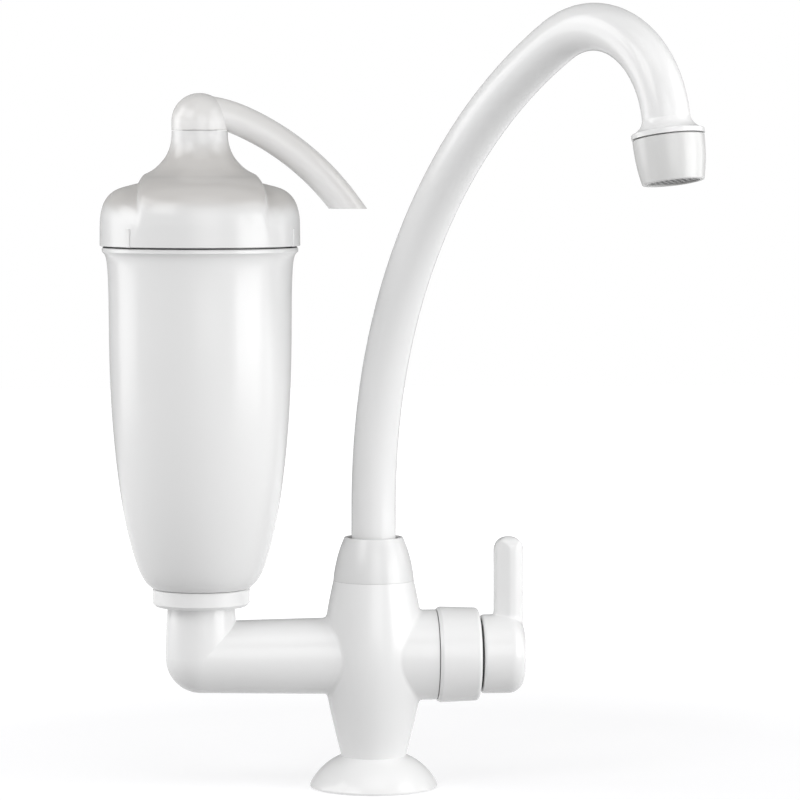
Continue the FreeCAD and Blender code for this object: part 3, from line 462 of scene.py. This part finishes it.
lever_grain = 0.00042
lever_passes = 26
lever_model = bpy.data.objects.new("lever_model", parts["lever"].data.copy())
bpy.context.scene.collection.objects.link(lever_model)
even = lever_model.modifiers.new("even", "REMESH")
even.mode = "VOXEL"
even.voxel_size = lever_grain
soften = lever_model.modifiers.new("soften", "SMOOTH")
soften.factor = 0.5
soften.iterations = lever_passes
ready = lever_model.evaluated_get(bpy.context.evaluated_depsgraph_get())
lever_mesh = bpy.data.meshes.new_from_object(ready)
bpy.data.objects.remove(lever_model)
lever_mesh.name = "soft_lever"
lever_mesh.shade_smooth()
lever_mesh.materials.clear()
lever_mesh.materials.append(lever_white)
soft_lever = bpy.data.objects.new("soft_lever", lever_mesh)
bpy.context.scene.collection.objects.link(soft_lever)
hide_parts("lever")
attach(soft_lever, "handle")


def spring_steel(name):
    """Stainless steel with the fine scratches of its forming."""
    material, nodes, links, skin = fresh_material(name)
    skin.inputs["Metallic"].default_value = 1.0
    shade = noise_between(nodes, links, 180.0, 4.0, 0.0, 1.0)
    links.new(tinted(nodes, links, shade, (0.50, 0.50, 0.51), (0.60, 0.60, 0.60)), skin.inputs["Base Color"])
    links.new(noise_between(nodes, links, 900.0, 2.0, 0.29, 0.42), skin.inputs["Roughness"])
    return material


screw_steel = spring_steel("screw_steel")
painted(parts["lever_screw"], screw_steel)


# The valve's works
# Two lapped ceramic discs slide on each other in a black nylon housing, and a turned brass spindle drives
# one of them from the lever.

disc_ceramic, nodes, links, skin = fresh_material("disc_ceramic")
fired = noise_between(nodes, links, 500.0, 5.0, 0.0, 1.0)
links.new(tinted(nodes, links, fired, (0.78, 0.78, 0.75), (0.84, 0.84, 0.82)), skin.inputs["Base Color"])
links.new(noise_between(nodes, links, 240.0, 2.0, 0.08, 0.16), skin.inputs["Roughness"])
for name in ("fixed_disc", "turning_disc"):
    painted(parts[name], disc_ceramic)

housing_nylon = nylon("housing_nylon", (0.02, 0.02, 0.02))
painted(parts["valve_housing"], housing_nylon)

spindle_brass, nodes, links, skin = fresh_material("spindle_brass")
skin.inputs["Metallic"].default_value = 1.0
tarnish = noise_between(nodes, links, 90.0, 4.0, 0.0, 1.0)
links.new(tinted(nodes, links, tarnish, (0.55, 0.38, 0.15), (0.68, 0.50, 0.22)), skin.inputs["Base Color"])
links.new(noise_between(nodes, links, 260.0, 3.0, 0.29, 0.40), skin.inputs["Roughness"])
along = nodes.new("ShaderNodeTexCoord")
tool_marks = nodes.new("ShaderNodeTexWave")
tool_marks.bands_direction = "X"
tool_marks.inputs["Scale"].default_value = 900.0
links.new(along.outputs["Object"], tool_marks.inputs["Vector"])
links.new(rippled(nodes, links, tool_marks.outputs["Fac"], 0.3, 0.00003), skin.inputs["Normal"])
painted(parts["valve_spindle"], spindle_brass)


# The shadow behind the lever
# A thin black ring fills the gap between the ring nut and the lever's hub: it is painted shadow for that
# gap, and the CAD has no washer here. A rubber washer that keeps dirt out of the valve is the guess: the CAD
# has none here.

valve_z = 0.0616
gap_shadow_play = 0.00005
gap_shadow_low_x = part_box("valve_collar")[1][0] + gap_shadow_play
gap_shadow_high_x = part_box("lever")[0][0] - gap_shadow_play
gap_shadow_in = 0.0104
gap_shadow_out = 0.0169
gap_shadow_bevel = 0.0002
gap_shadow_columns = 96
gap_shadow_points = []
for r, x in ((gap_shadow_in, gap_shadow_low_x), (gap_shadow_out - gap_shadow_bevel, gap_shadow_low_x),
             (gap_shadow_out, gap_shadow_low_x + gap_shadow_bevel), (gap_shadow_out, gap_shadow_high_x - gap_shadow_bevel),
             (gap_shadow_out - gap_shadow_bevel, gap_shadow_high_x), (gap_shadow_in, gap_shadow_high_x)):
    for column in range(gap_shadow_columns):
        angle = 2 * math.pi * column / gap_shadow_columns
        gap_shadow_points.append((x, r * math.cos(angle), valve_z + r * math.sin(angle)))
# This black ring is painted shadow for the gap between the ring nut and the hub.
hub_gap_shadow = new_piece("hub_gap_shadow", gap_shadow_points, turned_faces(6, gap_shadow_columns), seal_black)
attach(hub_gap_shadow, "tap")


# The filter's housing
# A tall tapered cup of the same white plastic, blown smooth, that screws down into the elbow. The thread
# for its cap runs round the neck above the rim in two starts.

housing_white = white_moulding("housing_white", (0.80, 0.80, 0.80), gloss=0.23)
painted(parts["filter_housing"], housing_white)

filter_x = -0.0809
cup_columns = 192
cup_rows = 110
row_crowding = 0.5
edge_angle = 35
cup_low_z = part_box("filter_housing")[0][2]
cup_side = ((0.0045, 0.0228), (0.0065, 0.0251), (0.0090, 0.0270), (0.0129, 0.02899), (0.0185, 0.03096),
            (0.0251, 0.03284), (0.0322, 0.03451), (0.0414, 0.03629), (0.0517, 0.03788), (0.0639, 0.03938),
            (0.0772, 0.04064), (0.0911, 0.04157), (0.1060, 0.04217), (0.1170, 0.04241), (0.1280, 0.04250),
            (0.1390, 0.04258), (0.1470, 0.04276), (0.1530, 0.04306), (0.1570, 0.04344), (0.15955, 0.04399),
            (0.16072, 0.04464), (0.16170, 0.04565))
cup_top = ((0.04565, 0.1630), (0.04515, 0.1635), (0.0419, 0.1635), (0.0419, 0.1736), (0.0414, 0.1741),
           (0.0392, 0.1741), (0.0392, 0.1617), (0.0396, 0.1498), (0.03987, 0.1308), (0.03962, 0.1096),
           (0.03883, 0.0905), (0.03712, 0.0683), (0.03447, 0.0467), (0.03208, 0.0334), (0.02889, 0.0207),
           (0.02562, 0.0140), (0.02145, 0.00855), (0.0090, 0.00855), (0.0090, 0.0), (0.0172, 0.0),
           (0.0172, 0.0045))


def along_profile(profile, rise):
    """The radius at a height, on a smooth line through the points given."""
    last = len(profile) - 1
    i = max(k for k in range(last) if profile[k][0] <= rise or k == 0)
    (z0, r0), (z1, r1) = profile[i], profile[i + 1]
    slopes = []
    for k in (i, i + 1):
        (za, ra), (zb, rb) = profile[max(k - 1, 0)], profile[min(k + 1, last)]
        slopes.append((rb - ra) / (zb - za))
    t = min(1.0, max(0.0, (rise - z0) / (z1 - z0)))
    span = z1 - z0
    return ((2 * t ** 3 - 3 * t ** 2 + 1) * r0 + (t ** 3 - 2 * t ** 2 + t) * span * slopes[0]
            + (3 * t ** 2 - 2 * t ** 3) * r1 + (t ** 3 - t ** 2) * span * slopes[1])


def rounded_off(a, b, reach):
    """The smaller of two radii, with the corner between them rounded off."""
    share = max(reach - abs(a - b), 0.0) / reach
    return min(a, b) - share * share * reach / 4


def with_edges(piece):
    """Smooth all over, but crisp where faces meet at a clear angle."""
    piece.data.shade_smooth()
    piece.data.set_sharp_from_angle(angle=math.radians(edge_angle))


cup_low = cup_side[0][0]
cup_high = cup_side[-1][0]
cup_points = []
for row in range(cup_rows + 1):
    share = row / cup_rows
    crowded = share + row_crowding * share * (1 - share) * (2 * share - 1)
    rise = cup_low + (cup_high - cup_low) * crowded
    cup_points += on_ring(along_profile(cup_side, rise), cup_low_z + rise, cup_columns, filter_x)
for r, rise in cup_top:
    cup_points += on_ring(r, cup_low_z + rise, cup_columns, filter_x)
cup_faces = turned_faces(cup_rows + 1 + len(cup_top), cup_columns)
moulded_cup = new_piece("moulded_cup", cup_points, cup_faces, housing_white)
with_edges(moulded_cup)
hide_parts("filter_housing")
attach(moulded_cup, "tap")

neck_r = 0.0419
cap_bore_r = 0.0424
ridge_lead = 0.008
ridge_starts = 2
ridge_rise = 0.00034
ridge_foot = 0.0017
ridge_top = 0.0007
ridge_root = -0.15
ridge_steps = 96
ridge_taper = 12
ridge_end = 0.02


def screw_ridge(name, wall_r, rise, first_turn, low_z, high_z, material):
    """Low ridges that climb round a wall and stand proud of it by rise, with tapered ends."""
    points = []
    faces = []
    turns = (high_z - low_z) / ridge_lead
    steps = int(turns * ridge_steps)
    for start in range(ridge_starts):
        for step in range(steps + 1):
            share = step / steps
            angle = 2 * math.pi * (first_turn + start / ridge_starts + turns * share)
            z = low_z + (high_z - low_z) * share
            swell = min(1.0, ridge_taper * share + ridge_end, ridge_taper * (1 - share) + ridge_end)
            for along, out in ((-ridge_foot / 2, ridge_root), (-ridge_top / 2, swell),
                               (ridge_top / 2, swell), (ridge_foot / 2, ridge_root)):
                r = wall_r + rise * out
                points.append((filter_x + r * math.cos(angle), r * math.sin(angle), z + along))
        first = start * (steps + 1) * 4
        for step in range(steps):
            here = first + 4 * step
            for side in range(4):
                beside = (side + 1) % 4
                faces.append((here + side, here + beside, here + 4 + beside, here + 4 + side))
        faces.append(tuple(first + side for side in range(4)))
        faces.append(tuple(first + 4 * steps + side for side in (3, 2, 1, 0)))
    return new_piece(name, points, faces, material)


cap_low_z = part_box("filter_cap")[0][2]
thread_low_z = cap_low_z + 0.0012
thread_high_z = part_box("filter_housing")[1][2] - 0.0014
neck_thread = screw_ridge("neck_thread", neck_r, ridge_rise, 0.0, thread_low_z, thread_high_z, housing_white)
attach(neck_thread, "tap")


# The shadow under the cap
# A thin black ring on the cup's rim draws the dark line under the cap: it is painted shadow for the gap
# there, and the CAD has no seal here. A thin rubber ring on the cup's rim, which keeps dirt out of the
# thread, is the guess: the CAD has none here.

seam_shadow_in = 0.0420
seam_shadow_out = 0.0452
seam_shadow_thick = 0.00035
seam_shadow_bevel = 0.0001
seam_shadow_columns = 144
cap_gap = 0.0008
rim_top_z = cap_low_z - cap_gap
seam_shadow_points = []
for r, rise in ((seam_shadow_in, 0.0), (seam_shadow_out, 0.0), (seam_shadow_out, seam_shadow_thick - seam_shadow_bevel),
                (seam_shadow_out - seam_shadow_bevel, seam_shadow_thick), (seam_shadow_in, seam_shadow_thick)):
    seam_shadow_points += on_ring(r, rim_top_z + rise, seam_shadow_columns, filter_x)
# This black ring is painted shadow for the gap under the cap.
cap_seam_shadow = new_piece("cap_seam_shadow", seam_shadow_points, turned_faces(5, seam_shadow_columns), seal_black)
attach(cap_seam_shadow, "tap")


# The cap
# A thick moulding in the same white: a round skirt, two low lobes at its sides and a tall band between them
# that is drawn in to the neck. It screws over the neck of the cup with the same two starts. Its crown is
# painted greyer where it faces up: painted shade, standing in for the lesser light that falls on it there.

cap_columns = 288
cap_foot_r = 0.04659
cap_foot_edge = 0.0003
band_profile = ((0.0, 0.0466), (0.0118, 0.0464), (0.0163, 0.0459), (0.0208, 0.0445), (0.0246, 0.0420),
                (0.0284, 0.0375), (0.0311, 0.0318), (0.0330, 0.0261), (0.0355, 0.0214), (0.0397, 0.0171),
                (0.0430, 0.0150), (0.0470, 0.0136), (0.0505, 0.0131), (0.0534, 0.0130))
lobe_profile = ((0.0, 0.0466), (0.0118, 0.0464), (0.0158, 0.0459), (0.0203, 0.0444), (0.0238, 0.0419),
                (0.0264, 0.0380), (0.0282, 0.0320), (0.0292, 0.0260), (0.0296, 0.0120), (0.0534, 0.0010))
wall_profile = ((0.0, 0.0330), (0.0118, 0.0306), (0.0220, 0.0297), (0.0258, 0.0292), (0.0285, 0.0284),
                (0.0308, 0.0273), (0.0333, 0.0262), (0.0534, 0.0262))
top_round = 0.0010
front_round = 0.0056
lobe_round = 0.0010
lobe_drop = 0.0045
lobe_spread = 2.2
lobes_end = 0.0300
least_slant = 0.02
inside_profile = ((0.00808, 0.0534), (0.00808, 0.0384), (0.01015, 0.0384), (0.01015, 0.0078),
                  (0.0127, 0.0078), (0.0127, 0.0262), (0.0260, 0.0260), (0.0345, 0.0244),
                  (0.0378, 0.0208), (0.0388, 0.0160), (0.0388, 0.0114), (0.0424, 0.0114), (0.0424, 0.0))
skirt_rows = 10
crown_rows = 70
neck_rows = 34
skirt_low = 0.0002
skirt_height = 0.0118
crown_low = 0.0120
crown_step = 0.0003
neck_low = 0.0330
neck_height = 0.0204
cap_rises = [0.0]
cap_rises += [skirt_low + skirt_height * row / skirt_rows for row in range(skirt_rows + 1)]
cap_rises += [crown_low + crown_step * row for row in range(1, crown_rows + 1)]
cap_rises += [neck_low + neck_height * row / neck_rows for row in range(1, neck_rows + 1)]
cap_points = []
for rise in cap_rises:
    band_r = along_profile(band_profile, rise)
    wall = along_profile(wall_profile, rise)
    edge_in = cap_foot_edge if rise == 0.0 else 0.0
    for column in range(cap_columns):
        angle = 2 * math.pi * column / cap_columns
        forward = math.sin(angle) ** 2
        slant = max(abs(math.cos(angle)), least_slant)
        band = rounded_off(band_r, wall / slant, top_round + front_round * forward)
        drop = lobe_drop * min(1.0, lobe_spread * forward) * min(1.0, rise / crown_low)
        lobe_r = along_profile(lobe_profile, rise + drop)
        r = -rounded_off(-band, -lobe_r, lobe_round) if rise < lobes_end else band
        r = min(r, cap_foot_r) - edge_in
        cap_points.append((filter_x + r * math.cos(angle), r * math.sin(angle), cap_low_z + rise))
for r, rise in inside_profile:
    cap_points += on_ring(r, cap_low_z + rise, cap_columns, filter_x)
cap_faces = turned_faces(len(cap_rises) + len(inside_profile), cap_columns)


def eased(nodes, links, value, low, high):
    """0 up to low and 1 from high on, with a soft change between them."""
    ease = nodes.new("ShaderNodeMapRange")
    ease.interpolation_type = "SMOOTHSTEP"
    ease.inputs["From Min"].default_value = low
    ease.inputs["From Max"].default_value = high
    links.new(value, ease.inputs["Value"])
    return ease.outputs["Result"]


def facing_up(nodes, links, low, high):
    """Goes from 0 to 1 as the skin turns to face up."""
    facing = nodes.new("ShaderNodeNewGeometry")
    axes = nodes.new("ShaderNodeSeparateXYZ")
    links.new(facing.outputs["Normal"], axes.inputs[0])
    return eased(nodes, links, axes.outputs["Z"], low, high)


def greyed(nodes, links, amount, grey):
    """Turns the white that the skin has towards a grey, by the amount."""
    skin = nodes["Principled BSDF"]
    tint = nodes.new("ShaderNodeMix")
    tint.data_type = "RGBA"
    tint.inputs["B"].default_value = (*grey, 1)
    links.new(amount, tint.inputs["Factor"])
    links.new(skin.inputs["Base Color"].links[0].from_socket, tint.inputs["A"])
    links.new(tint.outputs["Result"], skin.inputs["Base Color"])


# The crown's grey is painted shade, laid on where the skin faces up above the skirt.
crown_shade_grey = (0.56, 0.545, 0.53)
grey_from = 0.012
grey_full = 0.022
cap_white = white_moulding("cap_white", (0.78, 0.78, 0.78), gloss=0.24)
nodes = cap_white.node_tree.nodes
links = cap_white.node_tree.links
cap_place = nodes.new("ShaderNodeTexCoord")
cap_axes = nodes.new("ShaderNodeSeparateXYZ")
links.new(cap_place.outputs["Object"], cap_axes.inputs[0])
above_skirt = eased(nodes, links, cap_axes.outputs["Z"], cap_low_z + grey_from, cap_low_z + grey_full)
crown_shade_amount = nodes.new("ShaderNodeMath")
crown_shade_amount.operation = "MULTIPLY"
links.new(facing_up(nodes, links, 0.0, 0.55), crown_shade_amount.inputs[0])
links.new(above_skirt, crown_shade_amount.inputs[1])
greyed(nodes, links, crown_shade_amount.outputs[0], crown_shade_grey)
painted(parts["filter_cap"], cap_white)

moulded_cap = new_piece("moulded_cap", cap_points, cap_faces, cap_white)
with_edges(moulded_cap)
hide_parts("filter_cap")
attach(moulded_cap, "cap")

lug_angles = (-137.0, -25.0, 43.0, 155.0)
lug_half = 0.00125
lug_bevel = 0.0003
lug_out = 0.0471
lug_in = 0.0455
lug_height = 0.0084
lug_points = []
lug_faces = []
for lug_angle in lug_angles:
    turn = math.radians(lug_angle)
    first = len(lug_points)
    for rise, bevel in ((0.0, 0.0), (lug_height - lug_bevel, 0.0), (lug_height, lug_bevel)):
        for r, beside in ((lug_in, -lug_half), (lug_out - lug_bevel - bevel, -lug_half),
                          (lug_out - bevel, -lug_half + lug_bevel), (lug_out - bevel, lug_half - lug_bevel),
                          (lug_out - lug_bevel - bevel, lug_half), (lug_in, lug_half)):
            lug_points.append((filter_x + r * math.cos(turn) - beside * math.sin(turn),
                               r * math.sin(turn) + beside * math.cos(turn), cap_low_z + rise))
    for level in (0, 1):
        for side in range(6):
            beside = (side + 1) % 6
            lug_faces.append((first + 6 * level + side, first + 6 * level + beside,
                              first + 6 * level + 6 + beside, first + 6 * level + 6 + side))
    lug_faces.append(tuple(first + side for side in (5, 4, 3, 2, 1, 0)))
    lug_faces.append(tuple(first + 12 + side for side in range(6)))
cap_lugs = new_piece("cap_lugs", lug_points, lug_faces, cap_white)
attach(cap_lugs, "cap")

cap_thread_start = 0.25
cap_thread = screw_ridge("cap_thread", cap_bore_r, -ridge_rise, cap_thread_start, thread_low_z, thread_high_z,
                         cap_white)
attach(cap_thread, "cap")


# The small spout
# It is a moulding of its own in a slightly warmer, faintly translucent white, and turns in the top of the
# cap, where a steel clip holds it. Its white is painted lighter where it faces down and greyer where it
# faces up: painted light and shade, as on the cap.

# The spout's white is painted light underneath and painted shade on top, by the way its skin faces.
spout_shade_grey = (0.70, 0.69, 0.68)
small_spout_white = white_moulding("small_spout_white", (0.94, 0.935, 0.93), gloss=0.24)
nodes = small_spout_white.node_tree.nodes
links = small_spout_white.node_tree.links
skin = nodes["Principled BSDF"]
greyed(nodes, links, facing_up(nodes, links, -0.5, 0.6), spout_shade_grey)
skin.inputs["Subsurface Weight"].default_value = 0.2
skin.inputs["Subsurface Radius"].default_value = (1.0, 1.0, 0.95)
skin.inputs["Subsurface Scale"].default_value = 0.006
painted(parts["filter_spout"], small_spout_white)

clip_steel = spring_steel("clip_steel")
painted(parts["filter_spout_clip"], clip_steel)


# The cartridge
# A block of pressed carbon stands in the cup between two moulded dishes, with a sleeve of white felt that
# catches what is coarse.

carbon_block, nodes, links, skin = fresh_material("carbon_block")
grains = nodes.new("ShaderNodeTexVoronoi")
grains.inputs["Scale"].default_value = 1600.0
grain_place = nodes.new("ShaderNodeTexCoord")
links.new(grain_place.outputs["Object"], grains.inputs["Vector"])
links.new(tinted(nodes, links, grains.outputs["Distance"], (0.010, 0.010, 0.010), (0.045, 0.045, 0.046)),
          skin.inputs["Base Color"])
links.new(noise_between(nodes, links, 700.0, 3.0, 0.6, 0.85), skin.inputs["Roughness"])
links.new(rippled(nodes, links, grains.outputs["Distance"], 0.7, 0.0002), skin.inputs["Normal"])
painted(parts["filter_block"], carbon_block)

sleeve_felt, nodes, links, skin = fresh_material("sleeve_felt")
skin.inputs["Roughness"].default_value = 0.9
skin.inputs["Sheen Weight"].default_value = 0.3
fibres = noise_between(nodes, links, 1100.0, 8.0, 0.0, 1.0)
links.new(tinted(nodes, links, fibres, (0.66, 0.66, 0.63), (0.84, 0.84, 0.82)), skin.inputs["Base Color"])
links.new(rippled(nodes, links, fibres, 0.8, 0.0003), skin.inputs["Normal"])
painted(parts["filter_felt"], sleeve_felt)

dish_blue, nodes, links, skin = fresh_material("dish_blue")
streaks = noise_between(nodes, links, 80.0, 4.0, 0.0, 1.0)
dish_colour = tinted(nodes, links, streaks, (0.030, 0.095, 0.300), (0.040, 0.110, 0.330))
links.new(dish_colour, skin.inputs["Base Color"])
links.new(noise_between(nodes, links, 350.0, 3.0, 0.32, 0.48), skin.inputs["Roughness"])
for name in ("filter_end_cap_lower", "filter_end_cap_upper"):
    painted(parts[name], dish_blue)
